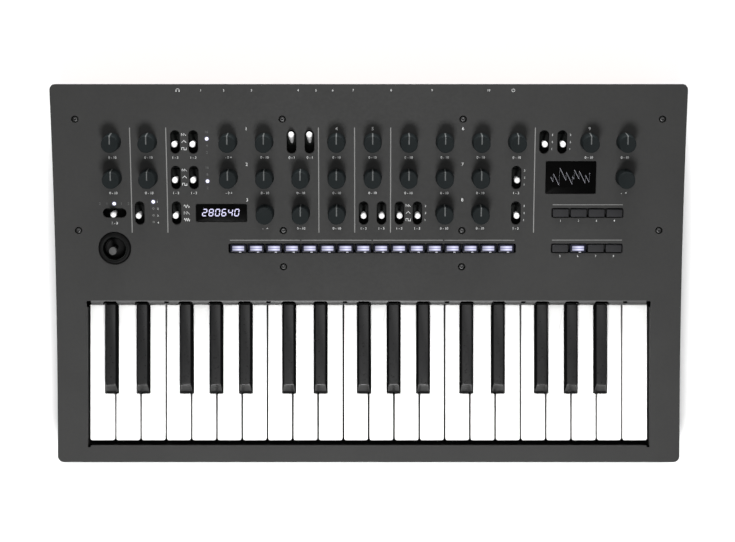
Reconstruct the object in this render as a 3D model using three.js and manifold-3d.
// A 37-key desktop synthesizer: a curved sheet panel over a moulded case, a wooden back board with
// the sockets, a keybed, a control board with its knobs and bat levers, rubber button pads and a
// two-axis joystick.
// Millimetres. X runs to the player's right, Y away from the player and +Z up. The origin is on the
// desk, at the middle of the instrument's footprint.

import * as THREE from "three";
import { mergeVertices } from "three/addons/utils/BufferGeometryUtils.js";
import Module from "manifold-3d";

const wasm = await Module();
wasm.setup();

// ---------------------------------------------------------------- Driving dimensions

const WIDTH = 500;
const DEPTH = 300;
const CORNER = 5; // plan radius of the panel's corners
const GAP = 0.3; // clearance between neighbouring pieces

// The panel is one sheet rolled to an arc that is level at its front edge.
const FRONT_TOP = 37.2; // height of the panel's front edge above the desk
const ARC_RADIUS = 1060;
const ARC_STEPS = 10;
const SHEET = 2;

// Case
const FOOT_HEIGHT = 4;
const FOOT_RADIUS = 9;
const FOOT_X = 218;
const FOOT_Y = 122;
const CASE_INSET = 1;
const CASE_WALL = 2.5;
const SILL_TOP = 9.5; // top of the low wall under the back board
const POST_RADIUS = 3.5;

// Keyboard
const OCTAVES = 3;
const KEY_PITCH = 20.4;
const KEY_GAP = 0.9;
const WHITE_COUNT = 7 * OCTAVES + 1;
const KEYS_LEFT = (-WHITE_COUNT * KEY_PITCH) / 2;
const WHITE_TOP = FRONT_TOP - 3.5;
const WHITE_DEEP = 12;
const WHITE_FRONT = -132.6;
const KEY_WALL = 1.6;
const SHARP_RISE = 8.5;
const SHARP_WIDTH = 10.4;
const SHARP_FRONT = -94.4;
const SHARP_SLOPE = 6.6; // how far the sharp's front face leans back
const BODY_REAR = -5.5; // where the key bodies end and their tails begin
const BAR_FRONT = -3;
const BAR_REAR = 5;
const BAR_THICK = 3;
const BARS = { sharps: 20, naturals_dfa: 25, naturals_cegb: 30 }; // underside of each comb's bar
// Each sharp sits this far from the line between the two white keys that it parts.
const SHARPS = [
  { after: 1, shift: -2.9 },
  { after: 2, shift: 2.1 },
  { after: 4, shift: -3.9 },
  { after: 5, shift: -0.3 },
  { after: 6, shift: 3.0 },
];

// Keyboard opening in the panel
const OPEN_HALF = 225.8;
const OPEN_FRONT = -136.7;
const OPEN_REAR = -20.3;
const LIP = 2.8; // width of the bevel along the opening's rear edge

// The control board is flat and lies parallel to the panel's tangent at TILT. Controls are placed
// in its plane: x as the object's, u up the slope and n out of the panel.
const TILT = THREE.MathUtils.degToRad(11.5);
const GRID = 28.45;
const ROW_4 = -40.1;
const ROW_3 = ROW_4 + GRID;
const ROW_2 = ROW_3 + GRID;
const ROW_1 = ROW_2 + GRID;
const LEFT_COLUMN = -202.4;
const MAIN_COLUMN = -110.7; // the first of the evenly spaced columns right of the switches
const column = (k) => MAIN_COLUMN + k * GRID;

const BOARD_TOP = -12;
const BOARD_THICK = 1.6;
const BOARD = { left: -224, right: 222, front: -53, rear: 57 };

const KNOB_BASE_RADIUS = 7.3;
const KNOB_TOP_RADIUS = 6.7;
const KNOB_UNDER = 1.5; // underside of a knob above the plane
const KNOB_TOP = 16.5;
const SHAFT_RADIUS = 3;
const SHAFT_HOLE_RADIUS = 4;
const SHAFT_END = -5.2;
const POT_TOP = -5.5;
const POT_WIDTH = 9.5;
const POT_DEPTH = 11;

const SLOT_WIDTH = 7.4;
const SLOT_LENGTH = 18.6;
const LEVER_SHIFT = -1; // the lever's pivot is this far down the slope from its slot's centre
const LEVER_PIVOT = -9;
const LEVER_LENGTH = 19;
const LEVER_TIP_RADIUS = 2.6;
const LEVER_FOOT_RADIUS = 1.4;
const LEVER_THROW = THREE.MathUtils.degToRad(27);
const SWITCH_TOP = -10.7;

const BUTTON_PITCH = GRID / 2;
const STEP_COUNT = 16;
const BUTTON_TOP = 2.1;
const PAD_TOP = -4; // top of the rubber web that joins the buttons
const PAD_THICK = 1.5;
const STEP_SIZE = { width: 12.7, height: 6.5 };
const FUNCTION_SIZE = { width: 12.5, height: 5.8 };
const BUTTON_WINDOW = 7.4;
const STEPS_LEFT = column(0) - 0.3;
const FUNCTION_X = column(10);

const SCREEN = { x: 160, u: ROW_2, width: 39.3, height: 25.6 };
const READOUT = { x: -117, u: ROW_3, width: 40, height: 13.9 };
const LENS_TOP = -0.2;
const LENS_THICK = 1.4;

const STICK = { x: LEFT_COLUMN, u: ROW_4 };
const BEZEL_RADIUS = 12.65;
const BEZEL_TOP = 2.4;
const BOWL_RADIUS = 9.3;
const BOWL_FLOOR = -11.3;
const GIMBAL_PIVOT = -7;
const STICK_TOP = 14;
const DISH_RADIUS = 8.1; // the dish that shields the gimbal moves with the stick

// Sockets along the back board
const SOCKET_Z = 41;
const BOARD_BACK = 148.6; // outer face of the wooden back board
const BACK_THICK = 10;
const BACK_HALF = 246;
const BACK_BOTTOM = 10;
const SOCKET_MOUTH = 149.6;
const SOCKET_BODY_FRONT = 122;
const SOCKET_BOARD = { left: -164, right: 168, front: 100, rear: 137, thick: 1.6 };
const PHONE = { nose: 5.4, bore: 3.3, depth: 19, body: 7 };
const MINI = { nose: 3.6, bore: 1.8, depth: 14, body: 5 };
const DIN = { nose: 9.2, bore: 7.6, depth: 8, body: 10 };
const DC = { nose: 5, bore: 3.2, depth: 10, body: 6 };
const SOCKETS = [
  { x: -149.6, ...PHONE },
  { x: -131.5, ...PHONE },
  { x: -113.5, ...PHONE },
  { x: -95.4, ...PHONE },
  { x: -55.4, ...MINI },
  { x: -41.2, ...MINI },
  { x: -27.2, ...MINI },
  { x: -13, ...MINI },
  { x: 17.5, ...DIN },
  { x: 49.6, ...DIN },
  { x: 154.1, ...DC },
];
const USB = { x: 94.1, width: 12, height: 11, openWidth: 8.8, openHeight: 8, depth: 10 };
const POWER = { x: 113.2, radius: 4, travel: 2 };

// ---------------------------------------------------------------- Layout of the controls

const KNOBS = [
  { name: "knob_master_volume", x: LEFT_COLUMN, u: ROW_1 },
  { name: "knob_tempo", x: LEFT_COLUMN, u: ROW_2 },
  { name: "knob_glide", x: LEFT_COLUMN + GRID, u: ROW_1 },
  { name: "knob_voice_depth", x: LEFT_COLUMN + GRID, u: ROW_2 },
  { name: "knob_osc1_pitch", x: column(0), u: ROW_1 },
  { name: "knob_osc1_shape", x: column(1), u: ROW_1 },
  { name: "knob_osc2_pitch", x: column(0), u: ROW_2 },
  { name: "knob_osc2_shape", x: column(1), u: ROW_2 },
  { name: "knob_cross_mod", x: column(2), u: ROW_2 },
  { name: "knob_engine_type", x: column(1), u: ROW_3 },
  { name: "knob_engine_shape", x: column(2), u: ROW_3 },
  { name: "knob_mix_osc1", x: column(3), u: ROW_1 },
  { name: "knob_mix_osc2", x: column(3), u: ROW_2 },
  { name: "knob_mix_engine", x: column(3), u: ROW_3 },
  { name: "knob_filter_cutoff", x: column(4), u: ROW_1 },
  { name: "knob_filter_resonance", x: column(4), u: ROW_2 },
  { name: "knob_amp_attack", x: column(5), u: ROW_1 },
  { name: "knob_amp_decay", x: column(6), u: ROW_1 },
  { name: "knob_amp_sustain", x: column(7), u: ROW_1 },
  { name: "knob_amp_release", x: column(8), u: ROW_1 },
  { name: "knob_env_attack", x: column(5), u: ROW_2 },
  { name: "knob_env_decay", x: column(6), u: ROW_2 },
  { name: "knob_env_amount", x: column(7), u: ROW_2 },
  { name: "knob_lfo_rate", x: column(6), u: ROW_3 },
  { name: "knob_lfo_amount", x: column(7), u: ROW_3 },
  { name: "knob_effect_time", x: column(10), u: ROW_1 },
  { name: "knob_effect_depth", x: column(11), u: ROW_1 },
  { name: "knob_program_select", x: column(11), u: ROW_2 },
];

// A pair of switches stands a quarter of the grid to each side of its column. throw is the lever's
// place at rest: 0 in the middle, 1 pushed fully up the slope.
const QUARTER = GRID / 4;
const LEVERS = [
  { name: "lever_keyboard_octave", x: LEFT_COLUMN + 0.6, u: ROW_3, across: true },
  { name: "lever_voice_mode", x: LEFT_COLUMN + GRID - QUARTER - 0.8, u: ROW_3 },
  { name: "lever_osc1_wave", x: LEFT_COLUMN + 2 * GRID - QUARTER, u: ROW_1 },
  { name: "lever_osc1_octave", x: LEFT_COLUMN + 2 * GRID + QUARTER, u: ROW_1 },
  { name: "lever_osc2_wave", x: LEFT_COLUMN + 2 * GRID - QUARTER, u: ROW_2 },
  { name: "lever_osc2_octave", x: LEFT_COLUMN + 2 * GRID + QUARTER, u: ROW_2 },
  { name: "lever_engine_select", x: LEFT_COLUMN + 2 * GRID - QUARTER, u: ROW_3 },
  { name: "lever_osc_sync", x: column(2) - QUARTER, u: ROW_1, throw: 1 },
  { name: "lever_ring_mod", x: column(2) + QUARTER, u: ROW_1, throw: 1 },
  { name: "lever_filter_drive", x: column(4) - QUARTER, u: ROW_3 },
  { name: "lever_filter_key_track", x: column(4) + QUARTER, u: ROW_3 },
  { name: "lever_lfo_wave", x: column(5) - QUARTER, u: ROW_3 },
  { name: "lever_lfo_mode", x: column(5) + QUARTER, u: ROW_3 },
  { name: "lever_env_target", x: column(8), u: ROW_2 },
  { name: "lever_lfo_target", x: column(8), u: ROW_3 },
  { name: "lever_effect_type", x: column(9) - QUARTER, u: ROW_1 },
  { name: "lever_effect_switch", x: column(9) + QUARTER, u: ROW_1 },
];

// Panel screws, as plan positions. The first four columns have posts of the case under them.
const SCREW_XS = [-231, -68, 74.2, 231];
const SCREW_YS = [123, 36];
const FRONT_SCREWS = [
  [-68, 7.2],
  [74.2, 7.2],
];

// ---------------------------------------------------------------- Solids from three.js geometry

// A closed geometry as a manifold-3d solid, with its faces turned outwards.
function solid(geometry) {
  const bare = geometry.clone();
  bare.deleteAttribute("normal");
  bare.deleteAttribute("uv");
  const merged = mergeVertices(bare, 1e-4);
  const triVerts = new Uint32Array(merged.index.array);
  const build = () =>
    new wasm.Manifold(
      new wasm.Mesh({
        numProp: 3,
        vertProperties: merged.attributes.position.array,
        triVerts,
      }),
    );
  const made = build();
  if (made.volume() >= 0) return made;
  for (let i = 0; i < triVerts.length; i += 3) {
    [triVerts[i + 1], triVerts[i + 2]] = [triVerts[i + 2], triVerts[i + 1]];
  }
  return build();
}

// A solid's surface as a flat-shaded geometry.
function surface(shape) {
  const mesh = shape.getMesh();
  const geometry = new THREE.BufferGeometry();
  geometry.setAttribute("position", new THREE.BufferAttribute(mesh.vertProperties, 3));
  geometry.setIndex(new THREE.BufferAttribute(mesh.triVerts, 1));
  const flat = geometry.toNonIndexed();
  flat.computeVertexNormals();
  return flat;
}

const join = (shapes) => shapes.reduce((all, next) => all.add(next));
const cut = (shape, cutters) => cutters.reduce((left, next) => left.subtract(next), shape);

// A box from its lowest and highest x, y and z.
function block(x0, x1, y0, y1, z0, z1) {
  const geometry = new THREE.BoxGeometry(x1 - x0, y1 - y0, z1 - z0);
  geometry.translate((x0 + x1) / 2, (y0 + y1) / 2, (z0 + z1) / 2);
  return geometry;
}

// A plan outline raised from z0 to z1.
function prism(shape, z0, z1, curveSegments = 6) {
  const geometry = new THREE.ExtrudeGeometry(shape, {
    depth: z1 - z0,
    bevelEnabled: false,
    curveSegments,
  });
  geometry.translate(0, 0, z0);
  return geometry;
}

// A side profile of [y, z] points, swept along X from x0 to x1.
function sweep(points, x0, x1) {
  const shape = new THREE.Shape(points.map(([y, z]) => new THREE.Vector2(y, z)));
  const geometry = prism(shape, x0, x1);
  const toProfilePlane = new THREE.Matrix4().makeBasis(
    new THREE.Vector3(0, 1, 0),
    new THREE.Vector3(0, 0, 1),
    new THREE.Vector3(1, 0, 0),
  );
  return geometry.applyMatrix4(toProfilePlane);
}

// A profile of [radius, height] points turned about the Z axis.
function turned(points, segments) {
  const profile = points.map(([r, h]) => new THREE.Vector2(r, h));
  return new THREE.LatheGeometry(profile, segments).rotateX(Math.PI / 2);
}

const rod = (radius, z0, z1, segments) =>
  turned(
    [
      [0, z0],
      [radius, z0],
      [radius, z1],
      [0, z1],
    ],
    segments,
  );

// A rod along Y.
const rodAlongY = (x, z, radius, y0, y1, segments = 10) =>
  rod(radius, y0, y1, segments)
    .rotateX(-Math.PI / 2)
    .translate(x, 0, z);

function roundedRectangle(width, depth, radius) {
  const w = width / 2;
  const d = depth / 2;
  const shape = new THREE.Shape();
  shape.moveTo(-w + radius, -d);
  shape.lineTo(w - radius, -d);
  shape.absarc(w - radius, -d + radius, radius, -Math.PI / 2, 0);
  shape.lineTo(w, d - radius);
  shape.absarc(w - radius, d - radius, radius, 0, Math.PI / 2);
  shape.lineTo(-w + radius, d);
  shape.absarc(-w + radius, d - radius, radius, Math.PI / 2, Math.PI);
  shape.lineTo(-w, -d + radius);
  shape.absarc(-w + radius, -d + radius, radius, Math.PI, Math.PI * 1.5);
  return shape;
}

// ---------------------------------------------------------------- The arc and the control plane

const panelTop = (y) =>
  FRONT_TOP + ARC_RADIUS - Math.sqrt(ARC_RADIUS ** 2 - (y + DEPTH / 2) ** 2);

// [y, z] points along the panel's arc, lowered by drop.
function arcPoints(drop) {
  return Array.from({ length: ARC_STEPS + 1 }, (_, i) => {
    const y = -DEPTH / 2 + (DEPTH * i) / ARC_STEPS;
    return [y, panelTop(y) - drop];
  });
}

// Everything under the sheet, used to trim what stands up to it.
const underSheet = (drop) =>
  solid(
    sweep([[-DEPTH / 2, -1], ...arcPoints(SHEET + drop), [DEPTH / 2, -1]].reverse(), -WIDTH / 2, WIDTH / 2),
  );

const controls = new THREE.Group();
controls.position.set(
  0,
  ARC_RADIUS * Math.sin(TILT) - DEPTH / 2,
  FRONT_TOP + ARC_RADIUS * (1 - Math.cos(TILT)),
);
controls.rotation.x = TILT;
controls.updateMatrixWorld(true);

// A geometry of the control plane, moved to x and u and given in the object's frame.
const onPlane = (geometry, x, u) => geometry.translate(x, u, 0).applyMatrix4(controls.matrixWorld);

// ---------------------------------------------------------------- Materials

const material = (color, roughness, metalness = 0) =>
  new THREE.MeshStandardMaterial({ color, roughness, metalness });
const PAINTED_METAL = material(0x434343, 0.5, 0.3);
const BLACK_PLASTIC = material(0x1c1c1d, 0.6);
const WOOD = material(0x6b3a22, 0.55);
const WHITE_PLASTIC = material(0xf4f4f2, 0.3);
const SHARP_PLASTIC = material(0x222324, 0.45);
const BOARD_GREEN = material(0x1d4a2c, 0.6);
const KNOB_RUBBER = material(0x25282a, 0.7);
const LEVER_CHROME = material(0xe4e4e6, 0.25, 0.2);
const LENS_BLACK = material(0x070708, 0.1);
const PAD_RUBBER = material(0x2f3032, 0.7);

const object = new THREE.Group();
object.add(controls);

function place(parent, name, shape, finish) {
  const mesh = new THREE.Mesh(surface(shape), finish);
  mesh.name = name;
  parent.add(mesh);
  return mesh;
}

// ---------------------------------------------------------------- Case, panel and back board

function bottomCase() {
  const width = WIDTH - 2 * CASE_INSET;
  const depth = DEPTH - 2 * CASE_INSET;
  const outer = solid(prism(roundedRectangle(width, depth, CORNER - CASE_INSET), FOOT_HEIGHT, 100));
  const hollow = roundedRectangle(width - 2 * CASE_WALL, depth - 2 * CASE_WALL, CORNER - CASE_WALL);
  const inner = solid(prism(hollow, FOOT_HEIGHT + CASE_WALL, 101));
  const backGap = block(
    -BACK_HALF - GAP,
    BACK_HALF + GAP,
    BOARD_BACK - BACK_THICK - GAP,
    DEPTH,
    SILL_TOP,
    101,
  );
  const posts = SCREW_XS.flatMap((x) =>
    SCREW_YS.map((y) => solid(rod(POST_RADIUS, FOOT_HEIGHT + 1, 100, 8).translate(x, y, 0))),
  );
  const feet = [-FOOT_X, FOOT_X].flatMap((x) =>
    [-FOOT_Y, FOOT_Y].map((y) =>
      solid(rod(FOOT_RADIUS, 0, FOOT_HEIGHT + 1, 16).translate(x, y, 0)),
    ),
  );
  const shell = cut(outer, [inner, solid(backGap)]);
  return join([shell, ...posts]).intersect(underSheet(GAP)).add(join(feet));
}

// The keyboard opening, with its rear face leaning so that the sheet's edge shows as a bevel.
function keyboardOpening() {
  const lowY = OPEN_REAR - LIP;
  const lowZ = panelTop(lowY) - SHEET;
  const highZ = panelTop(OPEN_REAR);
  const slope = LIP / (highZ - lowZ);
  const reach = 4;
  const profile = [
    [OPEN_FRONT, lowZ - 12],
    [lowY - reach * slope, lowZ - 12],
    [lowY - reach * slope, lowZ - reach],
    [OPEN_REAR + reach * slope, highZ + reach],
    [OPEN_FRONT, highZ + reach],
  ];
  return solid(sweep(profile, -OPEN_HALF, OPEN_HALF));
}

const windowCutter = (x, u, width, height) =>
  solid(onPlane(block(-width / 2, width / 2, -height / 2, height / 2, -6, 5), x, u));

function topPanel() {
  const band = sweep([...arcPoints(SHEET), ...arcPoints(0).reverse()], -WIDTH / 2, WIDTH / 2);
  const sheet = solid(band).intersect(solid(prism(roundedRectangle(WIDTH, DEPTH, CORNER), 0, 120)));
  const shaftHoles = KNOBS.map(({ x, u }) => solid(onPlane(rod(SHAFT_HOLE_RADIUS, -5, 5, 6), x, u)));
  const slots = LEVERS.map(({ x, u, across }) => {
    const [width, length] = across ? [SLOT_LENGTH, SLOT_WIDTH] : [SLOT_WIDTH, SLOT_LENGTH];
    const outline = roundedRectangle(width, length, SLOT_WIDTH / 2 - 0.01);
    return solid(onPlane(prism(outline, -6, 5, 2), x, u));
  });
  const screwHoles = [...SCREW_XS.flatMap((x) => SCREW_YS.map((y) => [x, y])), ...FRONT_SCREWS].map(
    ([x, y]) => solid(rod(1.8, 0, 120, 6).translate(x, y, 0)),
  );
  const stepRow = STEP_COUNT * BUTTON_PITCH;
  const windows = [
    windowCutter(STEPS_LEFT + stepRow / 2, ROW_4, stepRow + 1.2, BUTTON_WINDOW),
    windowCutter(FUNCTION_X, ROW_4, 4 * BUTTON_PITCH, BUTTON_WINDOW),
    windowCutter(FUNCTION_X, ROW_3, 4 * BUTTON_PITCH, BUTTON_WINDOW),
    windowCutter(SCREEN.x, SCREEN.u, SCREEN.width + 2 * GAP, SCREEN.height + 2 * GAP),
    windowCutter(READOUT.x, READOUT.u, READOUT.width + 2 * GAP, READOUT.height + 2 * GAP),
    solid(onPlane(rod(BEZEL_RADIUS + GAP, -6, 5, 24), STICK.x, STICK.u)),
  ];
  return cut(sheet, [keyboardOpening(), ...shaftHoles, ...slots, ...screwHoles, ...windows]);
}

function backBoard() {
  const front = BOARD_BACK - BACK_THICK;
  const slab = solid(block(-BACK_HALF, BACK_HALF, front, BOARD_BACK, BACK_BOTTOM, 100));
  const socketHoles = SOCKETS.map(({ x, nose }) =>
    solid(rodAlongY(x, SOCKET_Z, nose + GAP, front - 1, DEPTH)),
  );
  const usbHole = block(
    USB.x - USB.width / 2 - GAP,
    USB.x + USB.width / 2 + GAP,
    front - 1,
    DEPTH,
    SOCKET_Z - USB.height / 2 - GAP,
    SOCKET_Z + USB.height / 2 + GAP,
  );
  const powerHole = rodAlongY(POWER.x, SOCKET_Z, POWER.radius + GAP, front - 1, DEPTH);
  const holes = [...socketHoles, solid(usbHole), solid(powerHole)];
  return cut(slab.intersect(underSheet(GAP)), holes);
}

// ---------------------------------------------------------------- Sockets and power button

function socketBoard() {
  const { left, right, front, rear, thick } = SOCKET_BOARD;
  const boardTop = SOCKET_Z - 10;
  const parts = [solid(block(left, right, front, rear, boardTop - thick, boardTop))];
  const bodyRear = BOARD_BACK - BACK_THICK - GAP;
  for (const { x, nose, body } of SOCKETS) {
    const shell = block(x - body, x + body, SOCKET_BODY_FRONT, bodyRear, boardTop - 0.5, SOCKET_Z + body);
    parts.push(solid(shell));
    parts.push(solid(rodAlongY(x, SOCKET_Z, nose, bodyRear - 1, SOCKET_MOUTH)));
  }
  const halfWide = USB.width / 2;
  const halfHigh = USB.height / 2;
  const low = SOCKET_Z - halfHigh;
  const high = SOCKET_Z + halfHigh;
  parts.push(solid(block(USB.x - halfWide, USB.x + halfWide, SOCKET_BODY_FRONT, SOCKET_MOUTH, low, high)));
  parts.push(
    solid(block(USB.x - halfWide, USB.x + halfWide, SOCKET_BODY_FRONT, bodyRear, boardTop - 0.5, low + 1)),
  );
  // The switch behind the power button stops short of the button's stem.
  const switchBody = block(POWER.x - 5, POWER.x + 5, 112, 128, boardTop - 0.5, SOCKET_Z + 5);
  parts.push(solid(switchBody));

  const bores = SOCKETS.map(({ x, bore, depth }) =>
    solid(rodAlongY(x, SOCKET_Z, bore, SOCKET_MOUTH - depth, DEPTH)),
  );
  const usbBore = block(
    USB.x - USB.openWidth / 2,
    USB.x + USB.openWidth / 2,
    SOCKET_MOUTH - USB.depth,
    DEPTH,
    SOCKET_Z - USB.openHeight / 2,
    SOCKET_Z + USB.openHeight / 2,
  );
  const postHoles = SCREW_XS.map((x) =>
    solid(rod(POST_RADIUS + GAP, 0, 100, 8).translate(x, SCREW_YS[0], 0)),
  );
  return cut(join(parts), [...bores, solid(usbBore), ...postHoles]);
}

function powerButton() {
  const stemFront = 128 + POWER.travel + GAP;
  const cap = rodAlongY(POWER.x, SOCKET_Z, POWER.radius, 140, DEPTH / 2 - 0.2);
  const stem = rodAlongY(POWER.x, SOCKET_Z, 2, stemFront, 141, 8);
  return solid(cap).add(solid(stem));
}

// ---------------------------------------------------------------- Keybed

const boundary = (k) => KEYS_LEFT + k * KEY_PITCH;

// x centre of every sharp, from left to right.
const sharpCentres = Array.from({ length: OCTAVES }, (_, octave) =>
  SHARPS.map(({ after, shift }) => boundary(7 * octave + after) + shift),
).flat();

// A white key's outline in plan: full width in front, notched beside the sharps behind.
function whiteOutline(index) {
  const left = boundary(index) + KEY_GAP / 2;
  const right = boundary(index + 1) - KEY_GAP / 2;
  const clear = SHARP_WIDTH / 2 + 0.8;
  const reach = (side) =>
    sharpCentres.find((x) => Math.abs(x - side) < KEY_PITCH / 2) ?? null;
  const leftSharp = reach(boundary(index));
  const rightSharp = reach(boundary(index + 1));
  const notch = SHARP_FRONT - 1;
  const rearLeft = leftSharp === null ? left : leftSharp + clear;
  const rearRight = rightSharp === null ? right : rightSharp - clear;
  return { left, right, rearLeft, rearRight, notch };
}

function whiteKey(index, barLow) {
  const { left, right, rearLeft, rearRight, notch } = whiteOutline(index);
  const plan = (inset) => {
    const points = [
      [left + inset, WHITE_FRONT + inset],
      [right - inset, WHITE_FRONT + inset],
      [right - inset, notch - inset],
      [rearRight - inset, notch - inset],
      [rearRight - inset, BODY_REAR - inset],
      [rearLeft + inset, BODY_REAR - inset],
      [rearLeft + inset, notch - inset],
      [left + inset, notch - inset],
    ];
    return new THREE.Shape(points.map(([x, y]) => new THREE.Vector2(x, y)));
  };
  const low = WHITE_TOP - WHITE_DEEP;
  const body = solid(prism(plan(0), low, WHITE_TOP));
  const pocket = solid(prism(plan(KEY_WALL), low - 1, WHITE_TOP - KEY_WALL));
  const middle = (rearLeft + rearRight) / 2;
  const half = Math.min(4, (rearRight - rearLeft) / 2 - 0.5);
  const tail = block(middle - half, middle + half, BODY_REAR - 1, BAR_FRONT + 1, barLow, barLow + BAR_THICK);
  return cut(body, [pocket]).add(solid(tail));
}

function sharpKey(x, barLow) {
  const top = WHITE_TOP + SHARP_RISE;
  const foot = WHITE_TOP - 8;
  const profile = [
    [SHARP_FRONT, foot],
    [BODY_REAR - 3, foot],
    [BODY_REAR - 3, barLow],
    [BAR_FRONT + 1, barLow],
    [BAR_FRONT + 1, barLow + BAR_THICK],
    [BODY_REAR, barLow + BAR_THICK],
    [BODY_REAR, top - 4],
    [OPEN_REAR - LIP, top],
    [SHARP_FRONT + SHARP_SLOPE, top],
    [SHARP_FRONT, WHITE_TOP],
  ];
  const half = SHARP_WIDTH / 2;
  const body = solid(sweep(profile, x - half, x + half));
  // The flanks lean in above the white keys.
  const lean = 1;
  const flank = (side) => {
    const shape = new THREE.Shape([
      new THREE.Vector2(side * half, WHITE_TOP),
      new THREE.Vector2(side * (half + 4), WHITE_TOP),
      new THREE.Vector2(side * (half + 4), top + 4),
      new THREE.Vector2(side * (half - lean * 1.5), top + 4),
    ]);
    return solid(prism(shape, 0, DEPTH / 2).rotateX(Math.PI / 2).translate(x, 0, 0));
  };
  return cut(body, [flank(-1), flank(1)]);
}

const bar = (low) =>
  solid(block(-OPEN_HALF + 3, OPEN_HALF - 3, BAR_FRONT, BAR_REAR, low, low + BAR_THICK));

// White keys are moulded in two combs, so that no key is on its neighbour's comb within an octave.
function whiteComb(notes, low) {
  const indices = Array.from({ length: WHITE_COUNT }, (_, i) => i).filter((i) => notes.includes(i % 7));
  return join([bar(low), ...indices.map((i) => whiteKey(i, low))]);
}

const sharpComb = (low) => join([bar(low), ...sharpCentres.map((x) => sharpKey(x, low))]);

// The tray under the keys: a floor with a front stop and a rear wall behind the combs' bars.
function keyFrame() {
  const profile = [
    [WHITE_FRONT - 4, 8],
    [BAR_REAR + 5, 8],
    [BAR_REAR + 5, 37],
    [BAR_REAR + 2.5, 37],
    [BAR_REAR + 2.5, 10],
    [WHITE_FRONT + 12, 10],
    [WHITE_FRONT + 12, 13],
    [WHITE_FRONT + 6, 13],
    [WHITE_FRONT + 6, 10],
    [WHITE_FRONT - 4, 10],
  ];
  return solid(sweep(profile, -OPEN_HALF, OPEN_HALF));
}

// ---------------------------------------------------------------- Controls

// The board with the pots, switches, readout and joystick housing that are soldered to it. In the
// control plane's own frame.
function controlBoard() {
  const { left, right, front, rear } = BOARD;
  const parts = [solid(block(left, right, front, rear, BOARD_TOP - BOARD_THICK, BOARD_TOP))];
  for (const { x, u } of KNOBS) {
    const halfWide = POT_WIDTH / 2;
    const halfDeep = POT_DEPTH / 2;
    const pot = block(x - halfWide, x + halfWide, u - halfDeep, u + halfDeep, BOARD_TOP - 0.5, POT_TOP);
    parts.push(solid(pot));
  }
  for (const { x, u, across } of LEVERS) {
    const wide = across ? 6 : 3;
    const deep = across ? 3 : 6;
    const centre = u + (across ? 0 : LEVER_SHIFT);
    parts.push(solid(block(x - wide, x + wide, centre - deep, centre + deep, BOARD_TOP - 0.5, SWITCH_TOP)));
  }
  const { x, u, width, height } = READOUT;
  parts.push(
    solid(block(x - width / 2, x + width / 2, u - height / 2, u + height / 2, BOARD_TOP - 0.5, LENS_TOP)),
  );
  const housing = turned(
    [
      [0, BOARD_TOP - 0.5],
      [BEZEL_RADIUS, BOARD_TOP - 0.5],
      [BEZEL_RADIUS, BEZEL_TOP - 1.4],
      [BEZEL_RADIUS - 1.4, BEZEL_TOP],
      [BOWL_RADIUS, BEZEL_TOP],
      [BOWL_RADIUS, BOWL_FLOOR],
      [0, BOWL_FLOOR],
    ],
    24,
  );
  parts.push(solid(housing.translate(STICK.x, STICK.u, 0)));
  // The case's posts pass through the board.
  const toPlane = controls.matrixWorld.clone().invert();
  const postHoles = SCREW_XS.flatMap((px) =>
    SCREW_YS.map((py) => {
      const hole = rod(POST_RADIUS + 1.2, -10, 120, 8).translate(px, py, 0);
      return solid(hole.applyMatrix4(toPlane));
    }),
  );
  return cut(join(parts), postHoles);
}

function knob() {
  return solid(
    turned(
      [
        [0, SHAFT_END],
        [SHAFT_RADIUS, SHAFT_END],
        [SHAFT_RADIUS, KNOB_UNDER],
        [KNOB_BASE_RADIUS, KNOB_UNDER],
        [KNOB_TOP_RADIUS, KNOB_TOP],
        [0, KNOB_TOP],
      ],
      12,
    ),
  );
}

// A bat lever with its pivot at the origin.
function lever() {
  return solid(
    turned(
      [
        [0, -LEVER_FOOT_RADIUS],
        [LEVER_FOOT_RADIUS, 0],
        [LEVER_TIP_RADIUS, LEVER_LENGTH - 2],
        [LEVER_TIP_RADIUS - 0.9, LEVER_LENGTH],
        [0, LEVER_LENGTH + 0.6],
      ],
      8,
    ),
  );
}

// Buttons centred on the given points, standing on one rubber web.
function buttonPad(centres, size, web) {
  const low = PAD_TOP - PAD_THICK;
  const parts = [solid(block(web.left, web.right, web.front, web.rear, low, PAD_TOP))];
  for (const [x, u] of centres) {
    const halfWide = size.width / 2;
    const halfHigh = size.height / 2;
    parts.push(
      solid(block(x - halfWide, x + halfWide, u - halfHigh, u + halfHigh, PAD_TOP - 0.5, BUTTON_TOP)),
    );
  }
  return join(parts);
}

function stepPad() {
  const centres = Array.from({ length: STEP_COUNT }, (_, i) => [
    STEPS_LEFT + (i + 0.5) * BUTTON_PITCH,
    ROW_4,
  ]);
  return buttonPad(centres, STEP_SIZE, {
    left: STEPS_LEFT,
    right: STEPS_LEFT + STEP_COUNT * BUTTON_PITCH,
    front: ROW_4 - 5,
    rear: ROW_4 + 5,
  });
}

function functionPad() {
  const centres = [ROW_3, ROW_4].flatMap((u) =>
    [-1.5, -0.5, 0.5, 1.5].map((k) => [FUNCTION_X + k * BUTTON_PITCH, u]),
  );
  return buttonPad(centres, FUNCTION_SIZE, {
    left: FUNCTION_X - 2 * BUTTON_PITCH,
    right: FUNCTION_X + 2 * BUTTON_PITCH,
    front: ROW_4 - 5,
    rear: ROW_3 + 5,
  });
}

// The ring between the housing and the stick. It turns about x, and the stick in it about u.
function gimbalRing() {
  const ring = [
    [3.6, -1.2],
    [5.2, -1.2],
    [5.2, 0.4],
    [3.6, 0.4],
    [3.6, -1.2],
  ];
  return solid(turned(ring, 16));
}

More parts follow.
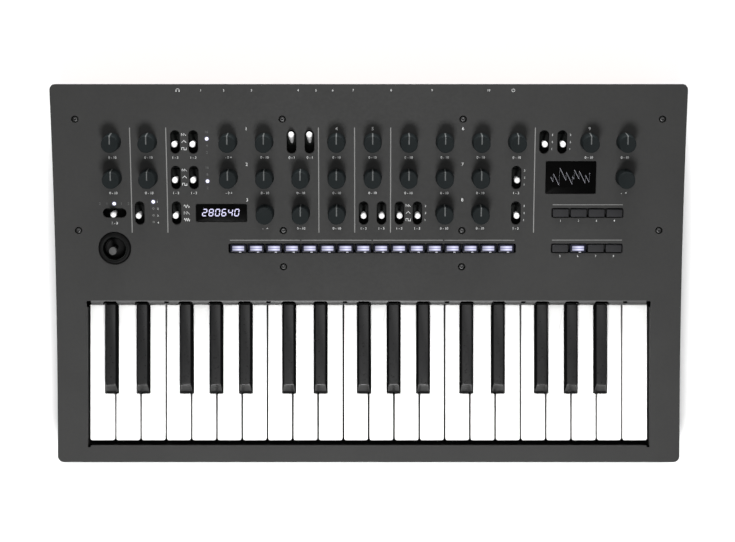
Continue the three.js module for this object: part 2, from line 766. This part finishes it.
function joystick() {
  const top = STICK_TOP - GIMBAL_PIVOT;
  return solid(
    turned(
      [
        [0, -2.5],
        [2.4, -1.5],
        [2.4, 2.2],
        [DISH_RADIUS, 3.2],
        [DISH_RADIUS, 4],
        [DISH_RADIUS - 0.8, 4],
        [2.6, 3],
        [1.9, top - 4.5],
        [3.1, top - 3.5],
        [3.1, top - 0.5],
        [2.6, top],
        [0, top],
      ],
      12,
    ),
  );
}

// ---------------------------------------------------------------- Assembly

place(object, "bottom_case", bottomCase(), BLACK_PLASTIC);
place(object, "top_panel", topPanel(), PAINTED_METAL);
place(object, "back_board", backBoard(), WOOD);
place(object, "socket_board", socketBoard(), BLACK_PLASTIC);
place(object, "power_button", powerButton(), BLACK_PLASTIC);
place(object, "key_frame", keyFrame(), BLACK_PLASTIC);
place(object, "white_keys_cegb", whiteComb([0, 2, 4, 6], BARS.naturals_cegb), WHITE_PLASTIC);
place(object, "white_keys_dfa", whiteComb([1, 3, 5], BARS.naturals_dfa), WHITE_PLASTIC);
place(object, "black_keys", sharpComb(BARS.sharps), SHARP_PLASTIC);

place(controls, "control_board", controlBoard(), BOARD_GREEN);
place(controls, "step_button_pad", stepPad(), PAD_RUBBER);
place(controls, "function_button_pad", functionPad(), PAD_RUBBER);
const lensHalf = { x: SCREEN.width / 2, u: SCREEN.height / 2 };
const lens = block(-lensHalf.x, lensHalf.x, -lensHalf.u, lensHalf.u, LENS_TOP - LENS_THICK, LENS_TOP);
place(controls, "screen_lens", solid(lens), LENS_BLACK).position.set(SCREEN.x, SCREEN.u, 0);

place(controls, "joystick_gimbal", gimbalRing(), BLACK_PLASTIC).position.set(STICK.x, STICK.u, GIMBAL_PIVOT);
place(controls, "joystick_stick", joystick(), BLACK_PLASTIC).position.set(STICK.x, STICK.u, GIMBAL_PIVOT);

const knobShape = knob();
for (const { name, x, u } of KNOBS) {
  place(controls, name, knobShape, KNOB_RUBBER).position.set(x, u, 0);
}

const leverShape = lever();
for (const { name, x, u, across, throw: up = 0 } of LEVERS) {
  const mesh = place(controls, name, leverShape, LEVER_CHROME);
  mesh.position.set(x, u + (across ? 0 : LEVER_SHIFT), LEVER_PIVOT);
  mesh.rotation.x = -up * LEVER_THROW;
}

export default object;
